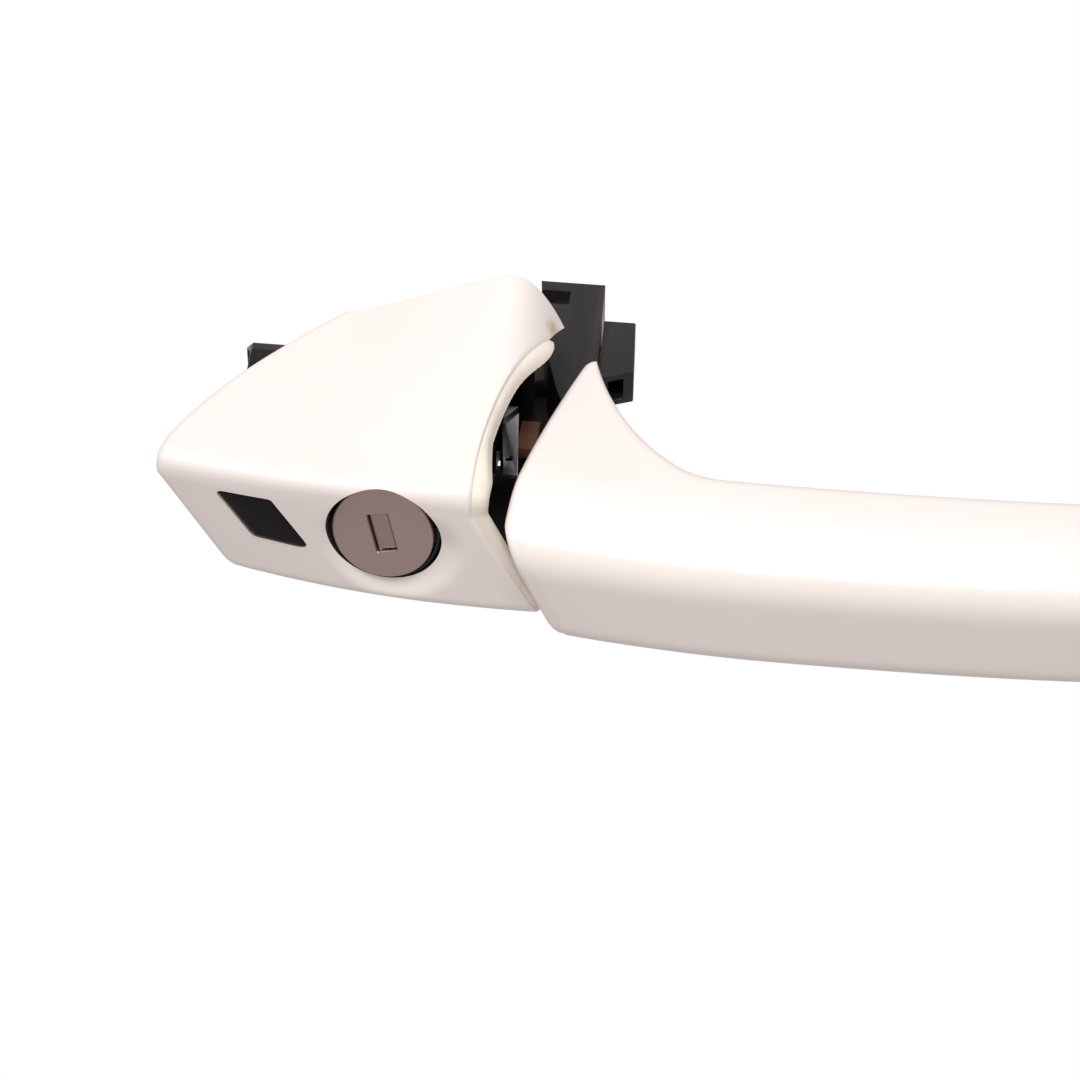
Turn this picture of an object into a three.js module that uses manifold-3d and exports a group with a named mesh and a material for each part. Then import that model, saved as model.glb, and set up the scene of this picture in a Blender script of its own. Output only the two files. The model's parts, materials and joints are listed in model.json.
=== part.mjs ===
// Outside door handle of a car: a fixed end cap with the key lock and a pull grip, with the
// brackets, release lever and pivot that hold and work them behind the door skin.
// Millimetres. X runs along the handle from the lock end to the hinge end, +Y goes into the
// door, +Z is up. The door skin lies between Y = -1 and Y = 0. The grip stands part pulled.
import * as THREE from "three";
import { mergeVertices } from "three/addons/utils/BufferGeometryUtils.js";
import Module from "manifold-3d";

const wasm = await Module();
wasm.setup();

// ---- driving dimensions ----
const CAP_WALL = 2.4;
const CAP_RIM_Y = -1.6; // where the cap's rim rests on its gasket
const CAP_TIP_X = -58.6; // left tip of the cap at the front
const CAP_CREASE_Z = 12; // height of the edge between the top and the front
const CAP_FRONT_Y = -52.3; // the foremost line of the cap
const CAP_LOW_Z = -15.5;
const CAP_TOP_R = 3.8; // rounding of the crease
const CAP_LOW_R = 3; // rounding of the lower front edge
const LEDGE_WIDTH = 3.2; // unpainted ledge that tucks under the end of the grip

const GRIP_WALL = 2.6;
const GRIP_FRONT_Y = -61.4;
const GRIP_FRONT_X = 60; // where the grip stands furthest out
const GRIP_BACK_Y = -38.9; // finger side of the bar
const GRIP_FOOT_Y = -6.8; // end of the rear foot, in the pose drawn
const GRIP_TOP_Z = 11.6;
const GRIP_CREASE_Z = 4.2;
const GRIP_LOW_Z = -15.8;
const GRIP_TIP_X = 205; // right tip of the grip

const HINGE = { x: 196, y: 14 }; // pivot of the grip, a vertical line
const NOSE_X = 181.4; // centre of the nose where it leaves the front foot
const ARM_SCREW = [22, -33];
const NOSE_SCREW = [NOSE_X, -29];

const LOCK = new THREE.Vector3(-16.5, -50, 0); // centre of the lock's face
const LOCK_NORMAL = new THREE.Vector3(-0.067, -0.99, 0.127).normalize();
const DISC_R = 9.75;
const LOCK_HOLE_R = 11;
const PLUG_R = 6.2;
const HOUSING_R = 9.6;
const HOUSING_END = -57; // local Z of the housing's inner end
const KEY_SLOT = { width: 4, height: 8.1, lean: 14 };
const SHUTTER = { width: 3.3, height: 7.6, thick: 0.7, z: -1.15, pinX: -1.45, pinR: 0.4 };

const FLANGE = { y0: 1.5, y1: 4.5 }; // plates of both brackets, behind the skin
const FRONT_FLANGE = { x0: 148, x1: 212, z0: -15, z1: 14 };
const FLOOR = { z0: -16.6, z1: -14 }; // shelf under the lever
const PAD_TOP = 0; // seats of the brackets against the inside of the skin

const ARM = { z0: -8, z1: 6, end: 25 };
const PIVOT = { x: -3, y: 14.2 }; // release lever
const LEVER = { z0: -13.2, z1: -9.6, hubR: 4.6, pinR: 1.8, fingerR: 1.5 };
const FINGER = [12.4, 18.2]; // centre of the lever's finger
const CABLE_EYE = [2, 32];
const RETAINER = { y: 5.6, z: -6.8, headR: 3.5, shankR: 2 };

// ---- finishes ----
const FINISH = {
  paint: [0xf4f1ee, 0.25, 0],
  blackGloss: [0x17151a, 0.1, 0],
  nylon: [0x26242a, 0.6, 0],
  rubber: [0x161616, 0.9, 0],
  nickel: [0x98887f, 0.38, 0.9],
  darkNickel: [0x6a5f58, 0.45, 0.9],
  zinc: [0x9fa2a5, 0.45, 0.8],
  steel: [0xb4b7bb, 0.35, 1],
  brownPlastic: [0x5c4034, 0.6, 0],
  board: [0x1f5a37, 0.5, 0],
};

// ---- small tools ----
const mix = (a, b, t) => a + (b - a) * t;
const over = (value) => Math.max(0, value);
const linspace = (from, to, count) =>
  Array.from({ length: count }, (_, i) => mix(from, to, i / (count - 1)));

const toSolid = (geometry) => {
  const bare = geometry.clone();
  bare.deleteAttribute("normal");
  bare.deleteAttribute("uv");
  const merged = mergeVertices(bare, 1e-4);
  const mesh = new wasm.Mesh({
    numProp: 3,
    vertProperties: new Float32Array(merged.attributes.position.array),
    triVerts: new Uint32Array(merged.index.array),
  });
  return new wasm.Manifold(mesh);
};

const toGeometry = (solid) => {
  const mesh = solid.getMesh();
  const geometry = new THREE.BufferGeometry();
  geometry.setAttribute("position", new THREE.BufferAttribute(mesh.vertProperties, 3));
  geometry.setIndex(new THREE.BufferAttribute(mesh.triVerts, 1));
  geometry.computeVertexNormals();
  return geometry;
};

const join = (first, ...others) =>
  toGeometry(others.reduce((sum, other) => sum.add(toSolid(other)), toSolid(first)));

const cut = (first, ...others) =>
  toGeometry(others.reduce((rest, other) => rest.subtract(toSolid(other)), toSolid(first)));

const box = (x0, x1, y0, y1, z0, z1) =>
  new THREE.BoxGeometry(x1 - x0, y1 - y0, z1 - z0).translate(
    (x0 + x1) / 2, (y0 + y1) / 2, (z0 + z1) / 2);

// a round bar between two points
const bar = (radius, from, to, sides = 24) => {
  const a = new THREE.Vector3(...from);
  const along = new THREE.Vector3(...to).sub(a);
  const turn = new THREE.Quaternion().setFromUnitVectors(
    new THREE.Vector3(0, 1, 0), along.clone().normalize());
  return new THREE.CylinderGeometry(radius, radius, along.length(), sides)
    .applyQuaternion(turn)
    .translate(a.x + along.x / 2, a.y + along.y / 2, a.z + along.z / 2);
};

// a turned piece about local Z, from [radius, z] points that begin and end on the axis
const turned = (points, sides = 40) =>
  new THREE.LatheGeometry(points.map(([r, z]) => new THREE.Vector2(r, z)), sides)
    .rotateX(Math.PI / 2);

// a flat ring about local Z
const ring = (outer, inner, z0, z1, sides = 40) =>
  turned([[inner, z0], [outer, z0], [outer, z1], [inner, z1], [inner, z0]], sides);

// an outline in X and Y raised from z0 to z1
const plate = (points, z0, z1) => {
  const shape = new THREE.Shape(points.map(([x, y]) => new THREE.Vector2(x, y)));
  return new THREE.ExtrudeGeometry(shape, { depth: z1 - z0, bevelEnabled: false })
    .translate(0, 0, z0);
};

// a link with round ends between two points, seen along Z
const link = (a, b, radiusA, radiusB, z0, z1, steps = 8) => {
  const heading = Math.atan2(b[1] - a[1], b[0] - a[0]);
  const arc = (centre, radius, start) =>
    Array.from({ length: steps + 1 }, (_, i) => {
      const angle = start + (Math.PI * i) / steps;
      return [centre[0] + radius * Math.cos(angle), centre[1] + radius * Math.sin(angle)];
    });
  const outline = [
    ...arc(a, radiusA, heading + Math.PI / 2),
    ...arc(b, radiusB, heading - Math.PI / 2),
  ];
  return plate(outline, z0, z1);
};

// skin over a stack of closed rings of equal length, with both ends filled
const loft = (rings) => {
  const count = rings[0].length;
  const points = rings.flat();
  const faces = [];
  for (let i = 0; i + 1 < rings.length; i += 1) {
    for (let j = 0; j < count; j += 1) {
      const k = (j + 1) % count;
      const [a, b] = [i * count + j, i * count + k];
      faces.push(a, b, b + count, a, b + count, a + count);
    }
  }
  const middle = (row) =>
    row.reduce((sum, p) => sum.map((v, axis) => v + p[axis] / count), [0, 0, 0]);
  const first = points.push(middle(rings[0])) - 1;
  const last = points.push(middle(rings.at(-1))) - 1;
  const end = (rings.length - 1) * count;
  for (let j = 0; j < count; j += 1) {
    const k = (j + 1) % count;
    faces.push(first, k, j, last, end + j, end + k);
  }
  const geometry = new THREE.BufferGeometry();
  geometry.setAttribute("position", new THREE.Float32BufferAttribute(points.flat(), 3));
  geometry.setIndex(faces);
  if (toSolid(geometry).volume() < 0) geometry.setIndex(faces.reverse());
  return geometry;
};

// moves each edge of a polygon inwards by its own distance; the polygon turns counter-clockwise
const insetPolygon = (corners, distances) => {
  const count = corners.length;
  const edges = corners.map((p, i) => {
    const q = corners[(i + 1) % count];
    const length = Math.hypot(q[0] - p[0], q[1] - p[1]);
    const along = [(q[0] - p[0]) / length, (q[1] - p[1]) / length];
    const inward = [-along[1], along[0]];
    return { p: [p[0] + inward[0] * distances[i], p[1] + inward[1] * distances[i]], along };
  });
  return edges.map((edge, i) => {
    const before = edges[(i + count - 1) % count];
    const cross = before.along[0] * edge.along[1] - before.along[1] * edge.along[0];
    const dx = edge.p[0] - before.p[0];
    const dy = edge.p[1] - before.p[1];
    const t = (dx * edge.along[1] - dy * edge.along[0]) / cross;
    return [before.p[0] + before.along[0] * t, before.p[1] + before.along[1] * t];
  });
};

// the polygon with each corner rounded by its own radius, and its edges cut into stretches
const roundPolygon = (corners, radii, steps, stretches) => {
  const arcs = corners.map((p, i) => {
    const count = corners.length;
    const before = new THREE.Vector2(...corners[(i + count - 1) % count]);
    const after = new THREE.Vector2(...corners[(i + 1) % count]);
    const corner = new THREE.Vector2(...p);
    const u = before.sub(corner);
    const v = after.sub(corner);
    const half = Math.abs(u.angleTo(v)) / 2;
    const reach = Math.min(radii[i] / Math.tan(half), 0.45 * u.length(), 0.45 * v.length());
    const curve = new THREE.QuadraticBezierCurve(
      corner.clone().addScaledVector(u.normalize(), reach), corner,
      corner.clone().addScaledVector(v.normalize(), reach));
    return curve.getPoints(steps).map((q) => [q.x, q.y]);
  });
  return arcs.flatMap((arc, i) => {
    const from = arc.at(-1);
    const to = arcs[(i + 1) % arcs.length][0];
    const between = linspace(0, 1, stretches[i] + 1).slice(1, -1)
      .map((t) => [mix(from[0], to[0], t), mix(from[1], to[1], t)]);
    return [...arc, ...between];
  });
};

const group = new THREE.Group();

const addTo = (parent, name, finish, geometry) => {
  const [color, roughness, metalness] = FINISH[finish];
  const material = new THREE.MeshStandardMaterial({ color, roughness, metalness });
  const mesh = new THREE.Mesh(geometry, material);
  mesh.name = name;
  parent.add(mesh);
  return mesh;
};
const add = (name, finish, geometry) => addTo(group, name, finish, geometry);

// ---- styling surfaces of the end cap ----
// left end: swept back towards the door, with its lower side set to the right
const capLeft = (y, z) => {
  const t = y + 40;
  const sweep = t > 0 ? 0.38 * t + 0.008 * t * t : 0.2 * t;
  return CAP_TIP_X + sweep + 0.58 * over(7.5 - z) * mix(1, 0.25, over(t) / 40);
};

// right cut, facing the grip: hollow along the top, slanted down the front
const capRight = (y, z) => {
  const t = over(y + 47) / 47;
  return 0.3 + 16.4 * t * t - 3.6 * t ** 6 + 0.56 * over(7 - z) * mix(1, 0.1, t);
};

const capFront = (x) => CAP_FRONT_Y + 0.00185 * (x + 5) ** 2;

// how much higher the top stands at the door than at its front edge
const capRise = (x) => {
  const t = x + 28;
  const soft = (t + Math.sqrt(t * t + 4)) / 2;
  return 2.2 + 0.5 * soft - 0.0026 * soft * soft;
};

// height of the top at the rim; it falls away past the lock, towards the grip
const capTop = (x) => CAP_CREASE_Z + 0.966 * (capRise(x) - 0.12 * over(x - 0.5) ** 2);

const capLow = (x) => CAP_LOW_Z + (x < -5 ? 0.0008 * (x + 5) ** 2 : 0);

// share of the ledge's width left at a point of its edge
const ledgeShare = (y, z) => {
  const t = over(y + 47) / 47;
  const front = mix(0.35, 1, Math.min(1, over(z + 14) / 26));
  return front * mix(1, 0.42, Math.min(1, 5 * t)) * (1 - 0.6 * t ** 6);
};

// one section of the cap: u = 0 at the left end and 1 at the cut, then a shift along X
const capRing = (u, shift, inset, back = 0) => {
  const baseY = CAP_RIM_Y;
  const beyond = u === 1 && shift > 0;
  const push = (y, z) => shift * (beyond && shift <= LEDGE_WIDTH ? ledgeShare(y, z) : 1);
  const at = (y, z) => mix(capLeft(y, z), capRight(y, z), u) + (beyond ? 0 : push(y, z));
  const frontX = at(-48, 6);
  const baseX = at(baseY, CAP_CREASE_Z);
  const front = capFront(frontX);
  const low = capLow(at(-48, -12));
  const corners = [
    [baseY, capTop(baseX)],
    [front, CAP_CREASE_Z],
    [front, low],
    [baseY, low - 8],
  ];
  const moved = insetPolygon(corners, [inset, inset, inset, -back]);
  const radii = [0.4, CAP_TOP_R - inset / 2, CAP_LOW_R - inset / 2, 0.4];
  return roundPolygon(moved, radii, 3, [6, 3, 5, 8]).map(([y, z]) => {
    const x = at(y, z);
    const upper = Math.min(1, over(z - 6) / 6);
    const fall = (capTop(x) - capTop(baseX)) * (y - front) / (baseY - front);
    return [x + (beyond ? push(y, z) : 0), y, z + upper * fall];
  });
};

// local X of the lock stays level, local Z is its axis
const LOCK_TURN = new THREE.Quaternion().setFromRotationMatrix(new THREE.Matrix4().lookAt(
  LOCK_NORMAL, new THREE.Vector3(), new THREE.Vector3(0, 0, 1)));
const lockPlace = (geometry) =>
  geometry.clone().applyQuaternion(LOCK_TURN).translate(LOCK.x, LOCK.y, LOCK.z);

// ---- infrared window in the cap's front ----
const WINDOW = [[-48, 6.2], [-37.4, 6], [-30.2, -4.8], [-41, -3.7]];

const windowPrism = (grow, y0, y1) => {
  const centre = [-39.2, 0];
  const outline = WINDOW.map(([x, z]) => [
    x + Math.sign(x - centre[0]) * grow * 1.3,
    z + Math.sign(z - centre[1]) * grow,
  ]);
  return loft([
    outline.map(([x, z]) => [x, capFront(x) + y0, z]),
    outline.map(([x, z]) => [x, capFront(x) + y1, z]),
  ]);
};

// screw bosses under the cap's top, at [x, z]
const CAP_BOSSES = [[-25.5, 6.5], [-9, 9.6]];

const makeCap = () => {
  const outer = loft([
    capRing(0, 0, 2.4),
    capRing(0, 0.8, 1),
    capRing(0, 2.6, 0),
    ...linspace(0.1, 0.95, 9).map((u) => capRing(u, 0, 0)),
    capRing(1, -0.4, 0),
    capRing(1, 0.1, 0.35),
    capRing(1, LEDGE_WIDTH / 2, 0.7),
    capRing(1, LEDGE_WIDTH, 1.6),
  ]);
  const hollow = loft([
    capRing(0, CAP_WALL, CAP_WALL + 1.6, 4),
    capRing(0, CAP_WALL + 1.6, CAP_WALL, 4),
    ...linspace(0.12, 0.95, 8).map((u) => capRing(u, 0, CAP_WALL, 4)),
    capRing(1, LEDGE_WIDTH + 4, CAP_WALL, 4),
  ]);
  const lockHole = lockPlace(bar(LOCK_HOLE_R, [0, 0, -8], [0, 0, 6], 40));
  const shell = cut(outer, hollow, lockHole, windowPrism(0.3, -3, 6));
  const bosses = CAP_BOSSES.map(([x, z]) => cut(
    bar(3.6, [x, -15, z], [x, CAP_RIM_Y - 0.4, z], 20),
    bar(1.7, [x, -12, z], [x, 0, z], 16)));
  const webs = [
    box(-9.8, -8.2, -15, CAP_RIM_Y - 0.6, 12.4, 17.8),
    plate([[-28.5, -14], [-41.5, -14], [-31.5, -2.4], [-28.5, -2.4]], 5.7, 7.3),
  ];
  return join(shell, ...bosses, ...webs);
};

const makeCapPieces = () => {
  add("end_cap_shell", "paint", makeCap());
  add("infrared_window", "blackGloss", windowPrism(0, 0.4, 3.2));
  add("receiver_board", "board", box(-45, -32.5, -42.8, -41.4, -5.5, 5.5));
  add("receiver_eye", "blackGloss", bar(2.2, [-39, -46.2, 0], [-39, -43.1, 0], 20));
  add("receiver_connector", "nylon", cut(
    box(-42, -34, -41.1, -32, -4, 4), box(-40.8, -35.2, -38, -30, -2.8, 2.8)));
};

// a plate standing parallel to the door, from an outline in X and Z
const facing = (outline, y0, y1) => plate(outline, -y1, -y0).rotateX(Math.PI / 2);

const rectangle = (x0, x1, z0, z1) => [[x0, z0], [x0, z1], [x1, z1], [x1, z0]];

// a seal with a lip outside the skin and a collar that passes through the skin's opening
const seal = (lip, collar, inside) => cut(
  join(facing(lip, -1.3, -0.6), facing(collar, -1.3, 1.2)), facing(inside, -3, 3));

const makeSeals = () => {
  const base = [[-26, -20.4], [5.9, -20], [5.9, 15], [1.4, 21.2], [-14, 18.1], [-30.6, 10.4]];
  const shrink = (d) => insetPolygon(base, base.map(() => d));
  add("rear_seal", "rubber", seal(base, shrink(1), shrink(2.4)));
  add("front_seal", "rubber", seal(rectangle(161, 193, -19, 14),
    rectangle(163.6, 190.6, -17.4, 12.4), rectangle(165, 189, -16, 11)));
};

// ---- lock, drawn about local Z, which points out of the door ----
const slotTurn = THREE.MathUtils.degToRad(KEY_SLOT.lean);

const makeLock = () => {
  const lock = new THREE.Group();
  lock.position.copy(LOCK);
  lock.quaternion.copy(LOCK_TURN);
  const slot = (width, height, z0, z1) =>
    box(-width / 2, width / 2, -height / 2, height / 2, z0, z1).rotateZ(slotTurn);
  const trunnion = (radius, reach) => bar(radius,
    [SHUTTER.pinX, -reach, SHUTTER.z], [SHUTTER.pinX, reach, SHUTTER.z], 10).rotateZ(slotTurn);
  const end = HOUSING_END;
  const thin = SHUTTER.thick / 2;

  addTo(lock, "lock_seal_ring", "rubber", ring(10.7, 10.1, -6, -1.4));
  addTo(lock, "lock_face_disc", "nickel", cut(
    turned([[0, -2.2], [DISC_R, -2.2], [DISC_R, -0.5], [DISC_R - 0.5, 0], [0, 0]], 48),
    slot(KEY_SLOT.width, KEY_SLOT.height, -3, 1), trunnion(SHUTTER.pinR + 0.12, 4.9)));
  addTo(lock, "dust_shutter", "darkNickel", join(
    slot(SHUTTER.width, SHUTTER.height, SHUTTER.z - thin, SHUTTER.z + thin),
    trunnion(SHUTTER.pinR, 4.6)));
  addTo(lock, "lock_plug", "zinc", cut(
    turned([[0, end - 3], [PLUG_R, end - 3], [PLUG_R, -6], [9, -6], [9, -2.5], [0, -2.5]]),
    slot(4.6, 8.7, -28, 0)));
  addTo(lock, "lock_housing", "zinc", join(
    ring(HOUSING_R, PLUG_R + 0.2, end, -6.3),
    ring(10.7, PLUG_R + 0.2, -9, -6.3)));
  addTo(lock, "plug_clip", "steel", ring(8.2, PLUG_R + 0.2, end - 1.3, end - 0.3));
  addTo(lock, "lock_coupling", "nylon", join(
    turned([[0, end - 7], [4.2, end - 7], [4.2, end - 3.3], [0, end - 3.3]], 28),
    box(-1.2, 1.2, -2.8, 2.8, end - 17, end - 6.5)));
  group.add(lock);
};

// ---- black frame inside the cap, beside the lock ----
const makeCapFrame = () => {
  const wall = [[-45, 8.4], [-3.4, 19], [-3.4, -15.6], [-45, -10.6]];
  const slab = (x0, x1) => loft([
    wall.map(([y, z]) => [x0, y, z]),
    wall.map(([y, z]) => [x1, y, z]),
  ]);
  const ribs = linspace(-40, -12, 5).map((y) => box(-0.6, 0.6, y, y + 1.2, -9, 9));
  add("lock_carrier", "nylon", join(slab(-2.7, -0.4), ...ribs));
  add("guide_strip", "steel", cut(
    join(plate([[0.9, -12], [4.2, -12], [6.4, -31], [3.6, -31]], 0, 0.8),
      plate([[0.9, -12], [0.9, -15.5], [2.2, -15.5], [4.2, -12]], 0.6, 2.4)),
    bar(0.9, [4, -26, -1], [4, -26, 2], 12)));
  add("guide_pad", "brownPlastic", box(4.9, 8.6, -21.5, -12.8, -2.6, -0.3));
  const floor = box(1, 6.6, -16, -2.8, -10.6, -8.6);
  const teeth = linspace(1.2, 5.4, 4).map((x) => box(x, x + 0.9, -15, -3, -8.8, -5.6));
  add("arm_guide", "nylon", join(floor, ...teeth));
};

// ---- brackets behind the skin ----
const screwHole = (x, z, radius = 2.3) => bar(radius, [x, -2, z], [x, 6, z], 16);

const REAR_SCREWS = [[-29.6, -12], [20.6, -16.3]];
const FRONT_SCREWS = [[160.5, 9.6], [207, -11.4]];

// the rear plate reaches round the lock and under the arm, which passes beside it
const REAR_PLATE = [
  [-33.6, -12], [-33.6, 5], [-30, 9.6], [-12, 14], [-2, 14.6], [3.4, 13.4],
  [3.4, -13.6], [24, -13.6], [24, -19], [-29, -19],
];

const makeRearBracket = () => {
  const y0 = FLANGE.y1 - 0.1;
  const { x, y } = PIVOT;
  const lug = [[1.5, 1.4], [4, 1], [10.6, -5.4], [10.6, -11.6], [1.5, -11.6]];
  const body = join(
    facing(REAR_PLATE, FLANGE.y0, FLANGE.y1),
    box(-2.2, 3.2, PAD_TOP, 1.6, -10, 10),
    box(-33, -29, PAD_TOP, 1.6, -9.6, 2.4),
    box(-2.2, 17.5, y0, 20, FLOOR.z0, FLOOR.z1),
    bar(5, [x, y, FLOOR.z0], [x, y, FLOOR.z1], 24),
    box(-2.2, 1.6, y0, 17, -5.4, -2.8),
    bar(4.6, [x, y, -5.4], [x, y, -2.8], 24),
    loft([
      lug.map(([ly, lz]) => [-54 + 0.5 * over(lz + 5), ly, lz]),
      lug.map(([ly, lz]) => [-33, ly, lz]),
    ]));
  return cut(body,
    lockPlace(bar(HOUSING_R + 0.5, [0, 0, -61], [0, 0, -44], 32)),
    bar(LEVER.pinR + 0.1, [x, y, -20], [x, y, 0], 24),
    bar(RETAINER.shankR + 0.3, [-60, RETAINER.y, RETAINER.z],
      [-15, RETAINER.y, RETAINER.z], 20),
    bar(RETAINER.headR + 0.4, [-60, RETAINER.y, RETAINER.z],
      [-48.6, RETAINER.y, RETAINER.z], 24),
    ...REAR_SCREWS.map(([sx, sz]) => screwHole(sx, sz, 1.8)),
    ...CAP_BOSSES.map(([sx, sz]) => screwHole(sx, sz, 1.8)));
};

const makeFrontBracket = () => {
  const { x, y } = HINGE;
  const { x0, x1, z0, z1 } = FRONT_FLANGE;
  const y0 = FLANGE.y1 - 0.1;
  const ears = [-9.4, 6.4].map((z) => join(
    box(x - 7, x + 7, y0, y, z, z + 3), bar(7, [x, y, z], [x, y, z + 3], 24)));
  const body = join(
    box(x0, x1, FLANGE.y0, FLANGE.y1, z0, z1),
    box(150, 156, PAD_TOP, 1.6, -9, 9),
    box(203.5, 210, PAD_TOP, 1.6, -9, 9),
    ...ears);
  return cut(body,
    box(169.5, 193, 1, 5, -9, 9),
    bar(2.6, [x, y, -12], [x, y, 12], 24),
    ...FRONT_SCREWS.map(([sx, sz]) => screwHole(sx, sz)));
};

// a pan-head screw along Y with a cross recess, its head on the inner side
const screw = (x, z, shankR, headR, tipY, seatY) => cut(
  join(bar(shankR, [x, tipY, z], [x, seatY + 0.2, z], 16),
    bar(headR, [x, seatY, z], [x, seatY + 2.4, z], 20)),
  box(x - headR * 0.6, x + headR * 0.6, seatY + 1.2, seatY + 3, z - 0.5, z + 0.5),
  box(x - 0.5, x + 0.5, seatY + 1.2, seatY + 3, z - headR * 0.6, z + headR * 0.6));

const makeScrews = () => {
  const seat = FLANGE.y1 + 0.3;
  const { y, z, headR, shankR } = RETAINER;
  CAP_BOSSES.forEach(([sx, sz], i) =>
    add(`cap_screw_${i + 1}`, "steel", screw(sx, sz, 1.4, 3, -11, seat)));
  REAR_SCREWS.forEach(([sx, sz], i) =>
    add(`rear_bracket_screw_${i + 1}`, "steel", screw(sx, sz, 1.5, 2.5, -0.4, seat)));
  FRONT_SCREWS.forEach(([sx, sz], i) =>
    add(`front_bracket_screw_${i + 1}`, "steel", screw(sx, sz, 2, 3.3, -0.4, seat)));
  add("lock_retaining_screw", "steel", cut(
    join(bar(shankR, [-49.2, y, z], [-22.9, y, z], 20),
      bar(headR, [-51.6, y, z], [-48.9, y, z], 24)),
    bar(1.7, [-53, y, z], [-50.2, y, z], 6)));
};

// ---- release lever ----
const coil = (centre, radius, wireR, z0, pitch, turns, steps = 13) => {
  const count = Math.round(turns * steps);
  const points = linspace(0, turns, count + 1).map((t) => new THREE.Vector3(
    centre.x + radius * Math.cos(2 * Math.PI * t),
    centre.y + radius * Math.sin(2 * Math.PI * t), z0 + pitch * t));
  const section = new THREE.Shape();
  section.absarc(0, 0, wireR, 0, 2 * Math.PI);
  return new THREE.ExtrudeGeometry(section, {
    steps: count, curveSegments: 3, extrudePath: new THREE.CatmullRomCurve3(points),
  });
};

const makeLever = () => {
  const { x, y } = PIVOT;
  const { z0, z1, hubR, pinR, fingerR } = LEVER;
  const body = join(
    bar(hubR, [x, y, z0], [x, y, z1], 28),
    link([x, y], FINGER, hubR, 3, z0, z1),
    link([x, y], CABLE_EYE, hubR, 3.2, z0, z1),
    bar(fingerR, [...FINGER, z1 - 0.2], [...FINGER, -1], 18));
  add("release_lever", "nylon", cut(body,
    bar(pinR + 0.1, [x, y, -20], [x, y, 0], 24),
    bar(1.6, [...CABLE_EYE, -20], [...CABLE_EYE, 0], 16)));
  add("lever_pin", "steel", join(
    bar(pinR, [x, y, FLOOR.z0], [x, y, -2.3], 24),
    bar(3, [x, y, -2.5], [x, y, -1], 24)));
  add("return_spring", "steel", coil(PIVOT, 3.1, 0.5, -8.6, 1.15, 2));
};

// ---- grip ----
const gripLeft = (y, z) => {
  const t = over(y + 53);
  const slant = 0.46 * over(6 - z) * Math.min(1, -y / 50);
  return 6.6 + 0.048 * t ** 1.4 + slant;
};

const gripRight = (y) => {
  const t = over(y + 44);
  return GRIP_TIP_X - 0.3 * t - 0.0055 * t * t;
};

const gripFront = (x) => {
  const t = x - GRIP_FRONT_X;
  return GRIP_FRONT_Y + (t < 0 ? 0.00134 * t * t : 17.2 * (t / 145) ** 2.6);
};

const gripBack = (x) => GRIP_BACK_Y + 0.00055 * (x - 65) ** 2;

// share of the way from the bar's finger side back to the door, s from the end of the grip
const footShare = (s, flat, length) => {
  const t = Math.min(1, over(s - flat) / length);
  return (1 - t) ** 1.65;
};

const SHEAR_LENGTH = 70; // over this length the sections turn square to the bar

const gripRing = (x, shift, inset, backInset = inset) => {
  // x is the station along the front of the bar; near both ends the sections bend
  const leftPull = over(1 - over(x - 6.6) / SHEAR_LENGTH) ** 1.2;
  const rightPull = over(1 - over(GRIP_TIP_X - x) / SHEAR_LENGTH) ** 1.2;
  const at = (y, z) =>
    x + shift + (gripLeft(y, z) - 6.6) * leftPull + (gripRight(y) - GRIP_TIP_X) * rightPull;
  const front = gripFront(x + 3);
  const bend = Math.max(
    footShare(x - 6.6, 0, 38), footShare(GRIP_TIP_X - x, 9, 40));
  const back = Math.min(GRIP_FOOT_Y + 0.02 * over(x - 100), mix(gripBack(x), -3.2, bend));
  const lowY = over(bend - 0.2) * 4;
  const corners = [
    [back, GRIP_TOP_Z],
    [front + 13, GRIP_TOP_Z - 0.6],
    [front, GRIP_CREASE_Z],
    [front, GRIP_LOW_Z],
    [back, GRIP_LOW_Z - 1 - lowY],
  ];
  const moved = insetPolygon(corners, [inset, inset, inset, inset, backInset]);
  const backR = mix(5, 1, bend);
  const radii = [backR, 14, 5, 4, backR].map((r) => Math.max(0.5, r - inset / 2));
  return roundPolygon(moved, radii, 2, [4, 2, 2, 4, 4]).map(([y, z]) => [at(y, z), y, z]);
};

const gripStations = [
  ...linspace(10, 46, 10), ...linspace(55, 155, 8), ...linspace(163, 199, 9)];

const COVER = { x0: 50, x1: 152, z0: -9.5, z1: 6 };

const coverPrism = (grow, y0, y1) => {
  const xs = linspace(COVER.x0 - grow, COVER.x1 + grow, 9);
  return loft(xs.map((x) => [
    [x, gripBack(x) + y0, COVER.z0 - grow],
    [x, gripBack(x) + y1, COVER.z0 - grow],
    [x, gripBack(x) + y1, COVER.z1 + grow],
    [x, gripBack(x) + y0, COVER.z1 + grow],
  ]));
};

const makeGripShell = () => {
  const outer = loft([
    gripRing(6.6, 0, 1.6),
    gripRing(6.6, 0.6, 0.6),
    gripRing(6.6, 2, 0),
    ...gripStations.map((x) => gripRing(x, 0, 0)),
    gripRing(GRIP_TIP_X, -2, 0),
    gripRing(GRIP_TIP_X, -0.6, 0.7),
    gripRing(GRIP_TIP_X, 0, 2),
  ]);
  const hollow = loft([
    gripRing(6.6, GRIP_WALL, GRIP_WALL + 0.8, GRIP_WALL),
    gripRing(6.6, GRIP_WALL + 1.4, GRIP_WALL),
    ...gripStations.filter((x) => x > 12 && x < 197).map((x) => gripRing(x, 0, GRIP_WALL)),
    gripRing(GRIP_TIP_X, -GRIP_WALL - 1.4, GRIP_WALL),
    gripRing(GRIP_TIP_X, -GRIP_WALL, GRIP_WALL + 0.8, GRIP_WALL),
  ]);
  const rearMouth = box(13, 27, -25, 2, -12.5, 8);
  const frontMouth = box(175, 185.8, -16, 4, -9, 8);
  return cut(outer, hollow, coverPrism(0.3, -4, 4), rearMouth, frontMouth);
};

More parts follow.
